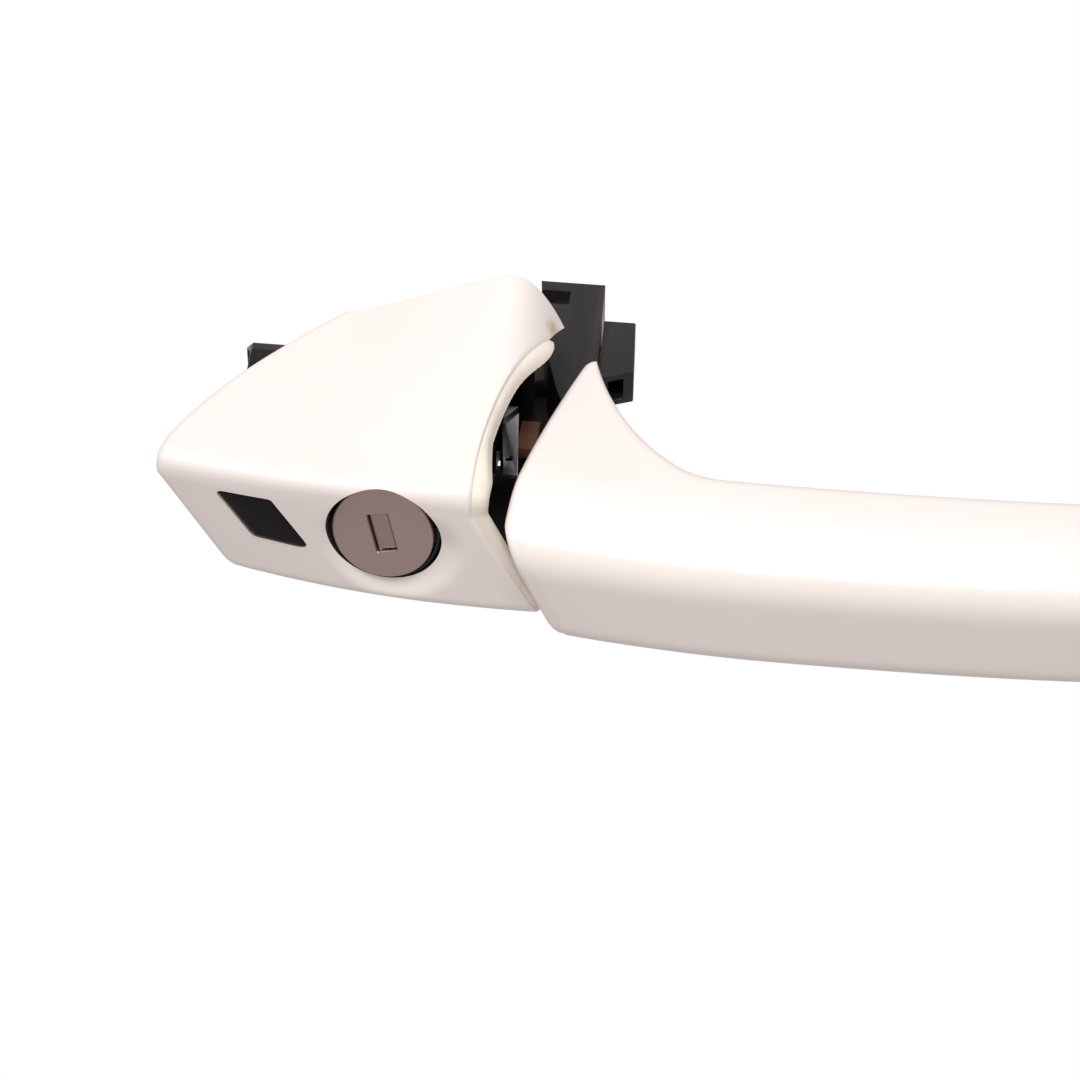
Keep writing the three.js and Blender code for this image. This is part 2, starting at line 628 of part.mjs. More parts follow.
// stiff core inside the bar, screwed to the arm at the rear and to the nose at the front
const makeGripCore = () => {
  const core = loft(linspace(26, 186, 12).map((x) => {
    const front = gripFront(x) + GRIP_WALL + 2;
    return [
      [x, front + 11, 6.6], [x, front + 7.5, 6], [x, front, 2],
      [x, front, -10], [x, front + 11, -10],
    ];
  }));
  const tongues = join(
    box(19.2, 28, -47, -30, -9.8, -6.4), box(176, 186, -40, -24, -9.8, -6.4));
  const ribs = linspace(56, 146, 6).map((x) =>
    box(x - 6.5, x + 6.5, gripFront(x) + GRIP_WALL + 6, -30, -7.5, 5));
  return cut(join(core, tongues), ...ribs,
    bar(1.7, [...ARM_SCREW, -12], [...ARM_SCREW, 0], 16),
    bar(1.7, [...NOSE_SCREW, -12], [...NOSE_SCREW, 0], 16));
};

// ---- pull arm: reaches from the rear foot through the skin and works the lever ----
const armRing = (y, x0, x1, skew = 0, z0 = ARM.z0) =>
  [[x0, y, z0], [x0, y, ARM.z1], [x1, y - skew, ARM.z1], [x1, y - skew, z0]];

const makePullArm = () => {
  const body = loft([
    armRing(-40, 17.4, 27, 3, -6),
    armRing(-25.4, 18.9, 25, 0, -6),
    armRing(-21, 15.2, 24.4),
    armRing(-10, 11.2, 18.7),
    armRing(1, 8.1, 18.3),
    armRing(ARM.end, 4.1, 17),
  ]);
  return cut(body,
    box(7.6, 15, 14.9, 21.5, -12, 2.8),
    box(2, 10.4, 17.6, 22, 2.6, 12),
    bar(1.7, [...ARM_SCREW, -12], [...ARM_SCREW, 12], 16));
};

const makeGripTail = () => {
  add("grip_core", "nylon", makeGripCore());
  add("pull_arm", "nylon", makePullArm());
  add("arm_shoe", "nylon", cut(
    loft([
      [[18.8, -4.6, -2.4], [18.8, -4.6, 5], [25.4, -1.6, 5], [25.4, -1.6, -2.4]],
      [[17.9, 14.4, -2.4], [17.9, 14.4, 5], [24.2, 14.4, 5], [24.2, 14.4, -2.4]],
    ]),
    box(20.5, 23.4, -6, 12.6, -1.2, 3.6)));
  add("arm_screw", "steel", verticalScrew(...ARM_SCREW));
  const nose = join(
    link([NOSE_X, -30], [NOSE_X, 4], 3.6, 4.2, -6, 6),
    link([NOSE_X, 4], [HINGE.x, HINGE.y], 4.2, 6, -6, 6),
    bar(6, [HINGE.x, HINGE.y, -6], [HINGE.x, HINGE.y, 6], 28));
  add("pivot_nose", "nylon", cut(nose,
    bar(2.6, [HINGE.x, HINGE.y, -12], [HINGE.x, HINGE.y, 12], 24),
    bar(1.7, [...NOSE_SCREW, -12], [...NOSE_SCREW, 12], 16)));
  add("nose_screw", "steel", verticalScrew(...NOSE_SCREW));
  add("hinge_pin", "steel", join(
    bar(2.5, [HINGE.x, HINGE.y, -9.7], [HINGE.x, HINGE.y, 9.8], 24),
    bar(4, [HINGE.x, HINGE.y, 9.7], [HINGE.x, HINGE.y, 11.4], 24)));
};

const verticalScrew = (x, y) => cut(
  join(bar(1.4, [x, y, -9.4], [x, y, 6.6], 16), bar(2.6, [x, y, 6.3], [x, y, 8.1], 20)),
  box(x - 1.6, x + 1.6, y - 0.4, y + 0.4, 7.2, 9));

const makeGrip = () => {
  add("grip_outer_shell", "paint", makeGripShell());
  add("grip_inner_cover", "paint", coverPrism(0, -2.3, 0));
};

// ---- the whole handle ----
makeCapPieces();
makeLock();
makeCapFrame();
makeSeals();
add("rear_bracket", "nylon", makeRearBracket());
add("front_bracket", "nylon", makeFrontBracket());
makeScrews();
makeLever();
makeGrip();
makeGripTail();

export default group;
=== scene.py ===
"""Looks of the car door handle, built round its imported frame. Shapes are in millimetres, in the
row frame: X along the handle, -Y out of the door, +Z up. Meshes are scaled to metres at the end."""
import json
import math

import bmesh
import bpy
from mathutils import Matrix, Vector


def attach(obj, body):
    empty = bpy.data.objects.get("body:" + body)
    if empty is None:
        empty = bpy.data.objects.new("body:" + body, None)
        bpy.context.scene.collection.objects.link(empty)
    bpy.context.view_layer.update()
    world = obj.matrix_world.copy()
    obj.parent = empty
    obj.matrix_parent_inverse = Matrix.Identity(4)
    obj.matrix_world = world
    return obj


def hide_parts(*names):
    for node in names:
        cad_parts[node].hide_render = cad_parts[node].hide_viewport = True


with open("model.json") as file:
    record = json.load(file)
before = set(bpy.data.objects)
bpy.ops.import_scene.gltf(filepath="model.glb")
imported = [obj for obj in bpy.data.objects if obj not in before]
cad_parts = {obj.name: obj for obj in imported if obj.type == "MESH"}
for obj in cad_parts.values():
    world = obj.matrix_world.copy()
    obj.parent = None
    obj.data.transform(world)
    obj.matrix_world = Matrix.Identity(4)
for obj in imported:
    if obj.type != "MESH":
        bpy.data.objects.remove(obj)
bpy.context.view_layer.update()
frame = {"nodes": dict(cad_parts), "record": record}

MM = 0.001
BODY_OF = {node: body for body, nodes in frame["record"]["behaviour"]["bodies"].items()
           for node in nodes}
SLOT_OF = {part["node"]: part["material_slot"] for part in frame["record"]["subparts"]}

# ---- dimensions shared with the CAD part ----
CAP_WALL = 2.4
CAP_RIM_Y = -1.6
CAP_TIP_X = -58.6
CAP_CREASE_Z = 12
CAP_FRONT_Y = -52.3
CAP_LOW_Z = -15.5
LEDGE_WIDTH = 3.2
GRIP_WALL = 2.6
GRIP_LEFT_X = 6.6
GRIP_TIP_X = 205
GRIP_LOW_Z = -15.8
GRIP_TOP_Z = 11.6
GRIP_CREASE_Z = 4.2
SHOULDER = {"y": 13, "z": 11.0}
SHEAR_LENGTH = 70
LOCK = Vector((-16.5, -50, 0))
LOCK_NORMAL = Vector((-0.067, -0.99, 0.127)).normalized()
DISC_R = 9.75
LOCK_LIP_R = 10.8
LOCK_LIP_SHIFT = (0.55, 0.3, 0)
SLOT = {"width": 4, "height": 8.1, "lean": math.radians(14)}
WINDOW = [(-48, 6.2), (-37.4, 6), (-30.2, -4.8), (-41, -3.7)]
WINDOW_MIDDLE_X = -39.2
COVER = {"x0": 50, "x1": 152, "z0": -9.5, "z1": 6}
CAP_BOSSES = ((-25.5, 6.5), (-9, 9.6))


def mix(a, b, t):
    return a + (b - a) * t


def over(value):
    return max(0.0, value)


def clamp(value):
    return min(1.0, max(0.0, value))


def smooth(t):
    t = clamp(t)
    return t * t * (3 - 2 * t)


def linspace(a, b, count):
    return [mix(a, b, i / (count - 1)) for i in range(count)]


# ---- mesh tools ----
def to_object(name, bm):
    """A new object from a bmesh in millimetres, which is scaled to metres and freed."""
    bmesh.ops.transform(bm, matrix=Matrix.Scale(MM, 4), verts=bm.verts)
    mesh = bpy.data.meshes.new(name)
    bm.to_mesh(mesh)
    bm.free()
    obj = bpy.data.objects.new(name, mesh)
    bpy.context.scene.collection.objects.link(obj)
    return obj


def skin(rings, ends=True, slots=None):
    """A bmesh over a stack of closed rings; slots gives the material of each row of faces."""
    bm = bmesh.new()
    rows = [[bm.verts.new(p) for p in row] for row in rings]
    count = len(rows[0])
    for i, (low, high) in enumerate(zip(rows, rows[1:])):
        for j in range(count):
            k = (j + 1) % count
            face = bm.faces.new((low[j], low[k], high[k], high[j]))
            if slots:
                face.material_index = slots(i, j)
    if ends:
        for row in (rows[0], rows[-1]):
            middle = bm.verts.new(sum((v.co for v in row), Vector()) / count)
            for j in range(count):
                face = bm.faces.new((middle, row[j], row[(j + 1) % count]))
                if slots:
                    face.material_index = slots(0 if row is rows[0] else len(rows) - 2, j)
    bmesh.ops.recalc_face_normals(bm, faces=bm.faces)
    return bm


def turned_rings(points, sides):
    """Rings about local Z from [radius, z] points."""
    turns = [2 * math.pi * i / sides for i in range(sides)]
    return [[Vector((r * math.cos(a), r * math.sin(a), z)) for a in turns] for r, z in points]


def prism(outline, z0, z1):
    return skin([[Vector((x, y, z)) for x, y in outline] for z in (z0, z1)])


def box(x0, x1, y0, y1, z0, z1):
    return prism([(x0, y0), (x1, y0), (x1, y1), (x0, y1)], z0, z1)


def rounded(corners, radii, steps, stretches):
    """A closed outline with rounded corners, its edges cut into stretches."""
    count = len(corners)
    arcs = []
    for i, corner in enumerate(corners):
        p = Vector(corner)
        u = Vector(corners[i - 1]) - p
        v = Vector(corners[(i + 1) % count]) - p
        half = u.angle(v) / 2
        reach = min(radii[i] / math.tan(half), 0.45 * u.length, 0.45 * v.length)
        a, b = p + u.normalized() * reach, p + v.normalized() * reach
        arcs.append([a * (1 - t) ** 2 + p * 2 * t * (1 - t) + b * t * t
                     for t in linspace(0, 1, steps + 1)])
    outline = []
    for i, arc in enumerate(arcs):
        start, end = arc[-1], arcs[(i + 1) % count][0]
        outline += arc
        outline += [start.lerp(end, t) for t in linspace(0, 1, stretches[i] + 1)[1:-1]]
    return [tuple(q) for q in outline]


def inset(corners, distances):
    """Moves each edge of a counter-clockwise polygon inwards by its own distance."""
    count = len(corners)
    edges = []
    for i, corner in enumerate(corners):
        p = Vector(corner)
        along = (Vector(corners[(i + 1) % count]) - p).normalized()
        edges.append((p + Vector((-along.y, along.x)) * distances[i], along))
    moved = []
    for (p, along), (q, before) in zip(edges, [edges[-1]] + edges[:-1]):
        cross = before.x * along.y - before.y * along.x
        d = p - q
        moved.append(tuple(q + before * ((d.x * along.y - d.y * along.x) / cross)))
    return moved


def carve(obj, cutters):
    """Cuts each bmesh out of the object; faces left by a cutter keep its material index."""
    for bm in cutters:
        cutter = to_object("cutter", bm)
        for _ in range(len(obj.data.materials)):
            cutter.data.materials.append(None)
        tool = obj.modifiers.new("cut", "BOOLEAN")
        tool.object, tool.operation, tool.solver = cutter, "DIFFERENCE", "EXACT"
        graph = bpy.context.evaluated_depsgraph_get()
        mesh = bpy.data.meshes.new_from_object(obj.evaluated_get(graph))
        obj.modifiers.clear()
        obj.data = mesh
        bpy.data.objects.remove(cutter)
    return obj


def join(obj, shells, slot):
    """Adds closed shells, given in millimetres, to an object's mesh, all with one slot."""
    whole = bmesh.new()
    whole.from_mesh(obj.data)
    for shell in shells:
        bmesh.ops.transform(shell, matrix=Matrix.Scale(MM, 4), verts=shell.verts)
        for face in shell.faces:
            face.material_index = slot
        piece = bpy.data.meshes.new("shell")
        shell.to_mesh(piece)
        shell.free()
        whole.from_mesh(piece)
        bpy.data.meshes.remove(piece)
    whole.to_mesh(obj.data)
    whole.free()


def finish_mesh(obj, angle=32):
    mesh = obj.data
    mesh.shade_smooth()
    mesh.set_sharp_from_angle(angle=math.radians(angle))
    return obj


def place(obj, node, materials):
    """Gives a new piece its materials and its body, and hides the CAD node it stands for."""
    if not obj.data.materials:
        for m in materials:
            obj.data.materials.append(m)
    else:
        for i, m in enumerate(materials):
            obj.data.materials[i] = m
    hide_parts(node)
    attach(obj, BODY_OF[node])
    return obj


# ---- materials ----
def principled(name, color, roughness, metallic=0.0):
    material = bpy.data.materials.new(name)
    material.use_nodes = True
    shader = material.node_tree.nodes["Principled BSDF"]
    shader.inputs["Base Color"].default_value = (*color, 1)
    shader.inputs["Roughness"].default_value = roughness
    shader.inputs["Metallic"].default_value = metallic
    return material, material.node_tree, shader


def link(tree, source, output, target, socket):
    tree.links.new(source.outputs[output], target.inputs[socket])


def coords(tree, scale):
    """Object coordinates stretched by a scale along each axis."""
    where = tree.nodes.new("ShaderNodeTexCoord")
    stretch = tree.nodes.new("ShaderNodeMapping")
    stretch.inputs["Scale"].default_value = scale
    link(tree, where, "Object", stretch, "Vector")
    return stretch


def noise(tree, scale, stretch=(1, 1, 1), detail=3.0):
    texture = tree.nodes.new("ShaderNodeTexNoise")
    texture.inputs["Scale"].default_value = scale
    texture.inputs["Detail"].default_value = detail
    link(tree, coords(tree, stretch), "Vector", texture, "Vector")
    return texture


def ramp(tree, source, output, stops):
    node = tree.nodes.new("ShaderNodeValToRGB")
    elements = node.color_ramp.elements
    while len(elements) < len(stops):
        elements.new(0.5)
    for element, (at, color) in zip(elements, stops):
        element.position = at
        element.color = (*color, 1)
    link(tree, source, output, node, "Fac")
    return node


def bump(tree, shader, source, output, strength, depth):
    node = tree.nodes.new("ShaderNodeBump")
    node.inputs["Strength"].default_value = strength
    node.inputs["Distance"].default_value = depth
    link(tree, source, output, node, "Height")
    link(tree, node, "Normal", shader, "Normal")
    return node


def shade(color, factor):
    return tuple(min(1.0, c * factor) for c in color)


def textured(name, color, roughness, metallic=0.0, scale=400.0, stretch=(1, 1, 1),
             variation=0.08, rough_range=0.06, relief=0.00002):
    """A finish whose colour, roughness and relief all vary finely over the surface."""
    material, tree, shader = principled(name, color, roughness, metallic)
    grain = noise(tree, scale, stretch)
    tint = ramp(tree, grain, "Fac", [(0.25, shade(color, 1 - variation)),
                                     (0.75, shade(color, 1 + variation))])
    link(tree, tint, "Color", shader, "Base Color")
    cloud = noise(tree, scale * 0.1)
    spread = tree.nodes.new("ShaderNodeMapRange")
    spread.inputs["To Min"].default_value = roughness - rough_range
    spread.inputs["To Max"].default_value = roughness + rough_range
    link(tree, cloud, "Fac", spread, "Value")
    link(tree, spread, "Result", shader, "Roughness")
    bump(tree, shader, grain, "Fac", 0.5, relief)
    return material


PAINT = (0.83, 0.768, 0.742)
CREAM = (0.80, 0.745, 0.66)
NYLON = (0.011, 0.009, 0.0105)
STAIN_COLOR = (0.42, 0.29, 0.11)
STAIN_AT = (0.0104, -0.0067, 0.0174)  # metres
STAIN_CORE = 0.0012
STAIN_RAGGED = 0.0022


def stain(tree, shader, clean, spread):
    """Tints a colour brown round a small spot near the upper tip of the cap's cut."""
    where = tree.nodes.new("ShaderNodeTexCoord")
    reach = tree.nodes.new("ShaderNodeVectorMath")
    reach.operation = "DISTANCE"
    reach.inputs[1].default_value = STAIN_AT
    link(tree, where, "Object", reach, 0)
    ragged = tree.nodes.new("ShaderNodeMath")
    ragged.operation = "MULTIPLY_ADD"
    ragged.inputs[1].default_value = STAIN_RAGGED
    link(tree, noise(tree, 700.0), "Fac", ragged, 0)
    link(tree, reach, "Value", ragged, 2)
    spot = tree.nodes.new("ShaderNodeMapRange")
    spot.inputs["From Min"].default_value = STAIN_CORE
    spot.inputs["From Max"].default_value = spread
    spot.inputs["To Min"].default_value = 0.85
    spot.inputs["To Max"].default_value = 0.0
    link(tree, ragged, "Value", spot, "Value")
    blend = tree.nodes.new("ShaderNodeMix")
    blend.data_type = "RGBA"
    blend.inputs["B"].default_value = (*STAIN_COLOR, 1)
    link(tree, spot, "Result", blend, "Factor")
    link(tree, clean, "Color", blend, "A")
    link(tree, blend, "Result", shader, "Base Color")


def make_paint(name="white_paint", marked=False):
    material = textured(name, PAINT, 0.28, scale=140.0, variation=0.008,
                        rough_range=0.03, relief=0.000004)
    tree = material.node_tree
    shader = tree.nodes["Principled BSDF"]
    shader.inputs["Coat Weight"].default_value = 0.6
    shader.inputs["Coat Roughness"].default_value = 0.08
    if marked:
        clean = shader.inputs["Base Color"].links[0].from_node
        stain(tree, shader, clean, 0.0040)
    return material


def make_cream():
    """Bare moulding at the cap's cut edge, stained near its upper tip."""
    material, tree, shader = principled("unpainted_edge", CREAM, 0.45)
    grain = noise(tree, 260.0)
    base = ramp(tree, grain, "Fac", [(0.3, shade(CREAM, 0.95)), (0.7, shade(CREAM, 1.05))])
    stain(tree, shader, base, 0.0062)
    bump(tree, shader, grain, "Fac", 0.4, 0.00004)
    return material


def make_nylon():
    """Black glass-filled nylon with fine lines drawn along Y and pale rubbed streaks."""
    along_y = (1, 0.04, 1)
    material, tree, shader = principled("black_nylon", NYLON, 0.42)
    lines = noise(tree, 900.0, along_y, 2.0)
    streaks = noise(tree, 210.0, along_y, 4.0)
    tint = ramp(tree, streaks, "Fac", [(0.0, shade(NYLON, 0.7)), (0.55, NYLON),
                                       (0.72, shade(NYLON, 2.6))])
    link(tree, tint, "Color", shader, "Base Color")
    spread = tree.nodes.new("ShaderNodeMapRange")
    spread.inputs["To Min"].default_value = 0.3
    spread.inputs["To Max"].default_value = 0.6
    link(tree, lines, "Fac", spread, "Value")
    link(tree, spread, "Result", shader, "Roughness")
    bump(tree, shader, lines, "Fac", 0.5, 0.00006)
    return material


def make_gloss():
    material = textured("gloss_black", (0.005, 0.004, 0.005), 0.12, scale=60.0, variation=0.1,
                        rough_range=0.02, relief=0.000002)
    material.node_tree.nodes["Principled BSDF"].inputs["Specular IOR Level"].default_value = 0.2
    return material


MATERIALS = {
    "white_paint": make_paint(),
    "gloss_black": make_gloss(),
    "black_nylon": make_nylon(),
    "black_rubber": textured("black_rubber", (0.02, 0.02, 0.021), 0.8, scale=500.0),
    "satin_nickel": textured("satin_nickel", (0.48, 0.37, 0.345), 0.40, 1.0, scale=1200.0,
                             variation=0.02, rough_range=0.03, relief=0.000003),
    "dark_nickel": textured("dark_nickel", (0.42, 0.32, 0.295), 0.45, 1.0, scale=1200.0,
                            variation=0.03, relief=0.000003),
    "cast_zinc": textured("cast_zinc", (0.45, 0.46, 0.47), 0.45, 1.0, scale=300.0),
    "zinc_plated_steel": textured("zinc_plated_steel", (0.60, 0.61, 0.63), 0.3, 1.0,
                                  scale=500.0, stretch=(1, 0.1, 1), variation=0.06),
    "brown_acetal": textured("brown_acetal", (0.15, 0.062, 0.032), 0.4, scale=300.0,
                             variation=0.2),
    "circuit_board": textured("circuit_board", (0.03, 0.14, 0.06), 0.35, scale=700.0,
                              variation=0.2),
}
CAP_PAINT = make_paint("cap_paint", marked=True)
CREAM_EDGE = make_cream()
# Near-black for the cap's inside faces, its hole wall and the bosses and webs within: painted
# shade, standing in for the shadow in the cap's hollow.
PAINTED_SHADE_FACE = textured("cap_inner_painted_shade", (0.028, 0.024, 0.025), 0.6, scale=420.0)


# ---- end cap ----
# The third slot takes the near-black painted shade on the faces inside the cap.
PAINT_SLOT, LEDGE_SLOT, SHADE_SLOT = 0, 1, 2  # its material slots


def cap_left(y, z):
    t = y + 40
    sweep = 0.38 * t + 0.008 * t * t if t > 0 else 0.2 * t
    return CAP_TIP_X + sweep + 0.58 * over(7.5 - z) * mix(1, 0.25, over(t) / 40)


def cap_right(y, z):
    t = over(y + 47) / 47
    return 0.3 + 16.4 * t * t - 3.6 * t ** 6 + 0.56 * over(7 - z) * mix(1, 0.1, t)


def cap_front(x):
    return CAP_FRONT_Y + 0.00185 * (x + 5) ** 2


def cap_rise(x):
    t = x + 28
    soft = (t + math.sqrt(t * t + 20)) / 2
    return 2.2 + 0.5 * soft - 0.0026 * soft * soft


def cap_top(x):
    return CAP_CREASE_Z + 0.966 * (cap_rise(x) - 0.12 * over(x - 0.5) ** 2)


def cap_low(x):
    return CAP_LOW_Z + (0.0008 * (x + 5) ** 2 if x < -5 else 0)


def ledge_share(y, z):
    t = over(y + 47) / 47
    front = mix(0.35, 1, clamp((z + 14) / 26))
    swell = 0.55 * math.exp(-((t - 0.68) / 0.13) ** 2)
    return front * (mix(1, 0.42, min(1, 5 * t)) * (1 - 0.6 * t ** 6) + swell)


def cap_ring(u, shift, depth, back=0.0):
    """One section of the cap: u is 0 at the left end and 1 at the cut, depth is its inset, and
    back carries its open side past the rim."""
    beyond = u == 1 and shift > 0

    def push(y, z):
        return shift * (ledge_share(y, z) if beyond and shift <= LEDGE_WIDTH else 1)

    def at(y, z):
        return mix(cap_left(y, z), cap_right(y, z), u) + (0 if beyond else push(y, z))

    base_x = at(CAP_RIM_Y, CAP_CREASE_Z)
    front = cap_front(at(-48, 6))
    low = cap_low(at(-48, -12))
    corners = [(CAP_RIM_Y, cap_top(base_x)), (front, CAP_CREASE_Z), (front, low),
               (CAP_RIM_Y, low - 8)]
    moved = inset(corners, [depth, depth, depth, -back])
    radii = [0.5, 3.8 - depth / 2, 3 - depth / 2, 0.4]
    ring = []
    for y, z in rounded(moved, radii, 8, [40, 32, 26, 10]):
        x = at(y, z)
        upper = clamp((z - 6) / 6)
        fall = (cap_top(x) - cap_top(base_x)) * (y - front) / (CAP_RIM_Y - front)
        ring.append(Vector((x + (push(y, z) if beyond else 0), y, z + upper * fall)))
    return ring


LOCK_X = Vector((0, 0, 1)).cross(LOCK_NORMAL).normalized()
LOCK_Y = LOCK_NORMAL.cross(LOCK_X)
LOCK_TURN = Matrix((LOCK_X, LOCK_Y, LOCK_NORMAL)).transposed().to_4x4()
LOCK_PLACE = Matrix.Translation(LOCK) @ LOCK_TURN
DISH = {"x": 2.0, "y": -0.6, "inner": 9.2, "width": 5.0, "depth": 1.5, "top": 7, "fade": 9}


def dished(p):
    """Sinks the cap's front into a soft dish round the lock, which fades out above it."""
    if p.y > -46:
        return p
    offset = p - LOCK
    reach = math.hypot(offset.dot(LOCK_X) - DISH["x"], offset.dot(LOCK_Y) - DISH["y"])
    fade = smooth((DISH["top"] - offset.dot(LOCK_Y)) / DISH["fade"])
    sink = DISH["depth"] * fade * smooth(1 - (reach - DISH["inner"]) / DISH["width"])
    return p - LOCK_NORMAL * sink


def window_outline(grow, radius, steps):
    corners = [(x + grow * (1.3 if x > WINDOW_MIDDLE_X else -1.3), z + grow * (1 if z > 0 else -1))
               for x, z in WINDOW]
    return rounded(corners, [radius] * 4, steps, [10, 10, 10, 10])


def window_prism(grow, y0, y1, radius):
    outline = window_outline(grow, radius, 4)
    return skin([[Vector((x, cap_front(x) + y, z)) for x, z in outline] for y in (y0, y1)])


def dome(ring, surface, shift):
    """Rings that close an end over its curved surface, from the middle out to the ring."""
    middle = sum(ring, Vector()) / len(ring)
    rings = []
    for share in (0.02, 0.2, 0.4, 0.6, 0.8, 0.92):
        row = []
        for p in ring:
            y, z = mix(middle.y, p.y, share), mix(middle.z, p.z, share)
            row.append(Vector((surface(y, z) + shift, y, z)))
        rings.append(row)
    return rings


def round_over(reach, drop, count):
    """Pairs of shift and inset that roll an end over, from its tip."""
    turns = [math.pi / 2 * (1 - i / count) for i in range(count + 1)]
    return [(reach * (1 - math.sin(a)), drop * (1 - math.cos(a))) for a in turns]


def lock_hole():
    """The round hole, whose visible lip sits a little off the lock's own axis; its wall is painted
    near-black as painted shade.
    """
    bm = skin(turned_rings([(LOCK_LIP_R, -8), (LOCK_LIP_R, 0.6), (LOCK_LIP_R + 0.1, 1.6),
                            (LOCK_LIP_R + 0.25, 6)], 128), slots=lambda i, j: SHADE_SLOT)
    bmesh.ops.translate(bm, vec=LOCK_LIP_SHIFT, verts=bm.verts)
    bmesh.ops.transform(bm, matrix=LOCK_PLACE, verts=bm.verts)
    return bm


def cap_boss(x, z):
    """A blind screw boss that stands inside the cap along Y."""
    profile = [(0.01, -12), (1.7, -12), (1.7, -2), (3.3, -2), (3.6, -2.4), (3.6, -14.6),
               (3.3, -15), (0.01, -15)]
    turns = [2 * math.pi * k / 32 for k in range(32)]
    return skin([[Vector((x + r * math.cos(a), y, z + r * math.sin(a))) for a in turns]
                 for r, y in profile])


def make_cap():
    tip = [cap_ring(0, shift, depth) for shift, depth in round_over(2.6, 2.4, 8)]
    tip = dome(tip[0], cap_left, 0) + tip
    span = [cap_ring(u, 0, 0) for u in linspace(0.08, 0.955, 96)]
    edge = [cap_ring(1, s, d) for s, d in
            [(-1.6, 0), (-0.8, 0), (-0.35, 0.03), (-0.05, 0.14), (0.12, 0.34)]]
    ledge = [cap_ring(1, s, d) for s, d in
             [(0.3, 0.5), (0.9, 0.6), (1.6, 0.72), (2.3, 0.95), (2.8, 1.2), (LEDGE_WIDTH, 1.6)]]
    rings = [[dished(p) for p in row] for row in tip + span + edge] + ledge
    painted_rows = len(rings) - len(ledge)
    bm = skin(rings, slots=lambda i, j: LEDGE_SLOT if i >= painted_rows - 1 else PAINT_SLOT)
    cap = to_object("cap_skin", bm)
    for _ in (PAINT_SLOT, LEDGE_SLOT, SHADE_SLOT):
        cap.data.materials.append(None)
    inner_tip = cap_ring(0, CAP_WALL, CAP_WALL + 1.6, 4)
    # The hollow's faces are painted near-black as painted shade.
    hollow = skin(
        dome(inner_tip, cap_left, CAP_WALL)
        + [inner_tip, cap_ring(0, CAP_WALL + 1.6, CAP_WALL, 4)]
        + [cap_ring(u, 0, CAP_WALL, 4) for u in linspace(0.12, 0.95, 24)]
        + [cap_ring(1, LEDGE_WIDTH + 4, CAP_WALL, 4)], slots=lambda i, j: SHADE_SLOT)
    carve(cap, [hollow, lock_hole(), window_prism(0.25, -3, 6, 1.2)])
    # Bosses and webs inside the cap, painted near-black as painted shade.
    webs = [box(-9.8, -8.2, -15, CAP_RIM_Y - 0.6, 12.4, 17.8),
            prism([(-28.5, -14), (-41.5, -14), (-31.5, -2.4), (-28.5, -2.4)], 5.7, 7.3)]
    join(cap, [cap_boss(x, z) for x, z in CAP_BOSSES] + webs, SHADE_SLOT)
    return place(finish_mesh(cap), "end_cap_shell", [CAP_PAINT, CREAM_EDGE, PAINTED_SHADE_FACE])


def make_window():
    rows = [(0.0, 3.2, 1.0), (0.0, 0.95, 1.0), (-0.12, 0.6, 1.0), (-0.35, 0.44, 1.0),
            (-0.8, 0.37, 1.0)]
    rings = []
    for grow, y, radius in rows:
        outline = window_outline(grow, radius, 5)
        rings.append([Vector((x, cap_front(x) + y, z)) for x, z in outline])
    window = to_object("window_lens", skin(rings))
    return place(finish_mesh(window, 50), "infrared_window", [MATERIALS["gloss_black"]])


# ---- lock face ----
def make_disc():
    edge = [(DISC_R - 0.5 * (1 - math.cos(a)), -0.45 * (1 - math.sin(a)))
            for a in linspace(0, math.pi / 2, 6)]
    profile = [(0.01, -2.2), (DISC_R - 0.2, -2.2), (DISC_R, -2.0)] + edge
    profile += [(DISC_R * 0.9, 0), (DISC_R * 0.6, 0), (0.01, 0)]
    disc = to_object("lock_face", skin(turned_rings(profile, 144)))
    w, h = SLOT["width"] / 2, SLOT["height"] / 2
    outline = rounded([(-w, -h), (w, -h), (w, h), (-w, h)], [0.25] * 4, 4, [1] * 4)
    flare = [[Vector((x * s, y * (1 + (s - 1) * w / h), z)) for x, y in outline]
             for s, z in ((1, -3), (1, -0.2), (1.05, -0.04), (1.12, 0.4))]
    key_slot = skin(flare)
    bmesh.ops.rotate(key_slot, verts=key_slot.verts, matrix=Matrix.Rotation(SLOT["lean"], 3, "Z"))
    carve(disc, [key_slot])
    disc.data.transform(Matrix.Translation(LOCK * MM) @ LOCK_TURN)
    return place(finish_mesh(disc, 30), "lock_face_disc", [MATERIALS["satin_nickel"]])


# ---- grip ----
def grip_left(y, z):
    slant = 0.46 * over(6 - z) * min(1, -y / 50)
    return GRIP_LEFT_X + 0.048 * over(y + 53) ** 1.4 + slant


def grip_right(y):
    t = over(y + 44)
    return GRIP_TIP_X - 0.3 * t - 0.0055 * t * t


def grip_front(x):
    t = x - 60
    return -61.4 + (0.00134 * t * t if t < 0 else 17.2 * (t / 145) ** 2.6)


def grip_back(x):
    return -38.9 + 0.00055 * (x - 65) ** 2


def foot_share(s, flat, length):
    return (1 - clamp(over(s - flat) / length)) ** 1.65


